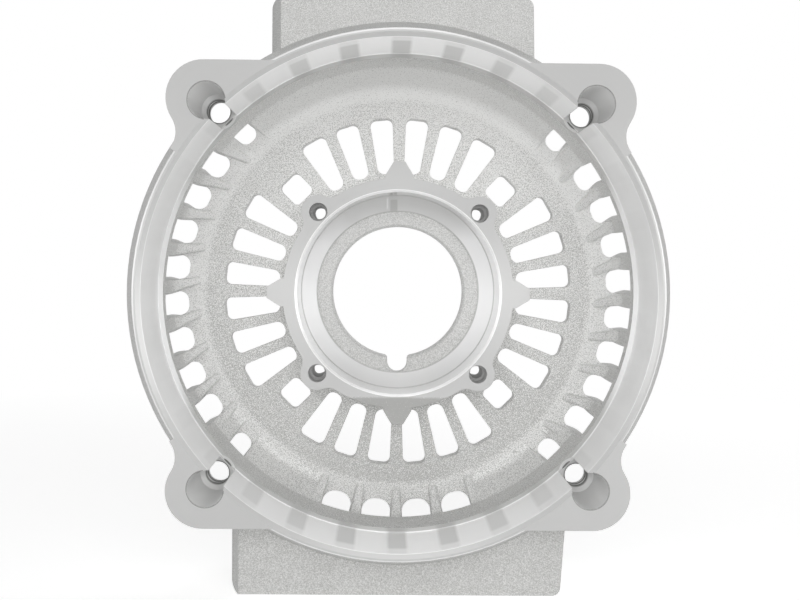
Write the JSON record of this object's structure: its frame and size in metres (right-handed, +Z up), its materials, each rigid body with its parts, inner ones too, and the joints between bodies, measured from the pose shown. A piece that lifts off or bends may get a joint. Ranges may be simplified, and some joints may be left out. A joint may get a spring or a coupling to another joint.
{
  "type": "alternator end frame",
  "caption": "Cast aluminium drive end frame of a pad-mount alternator, with stator register, bearing cup, vented web, clamp ears, foot and upper mounting pad.",
  "frame": {"origin": "on the shaft axis, in the plane of the machined rim and ear faces", "axes": "+Y along the shaft axis from the open rim into the frame, +Z up towards the upper mounting pad, +X to the right as seen from the open side"},
  "size_m": [0.2006, 0.077, 0.2196],
  "materials": {
    "cast_aluminium": "satin"
  },
  "bodies": {
    "root": {"end_frame": "cast_aluminium"}
  },
  "joints": []
}
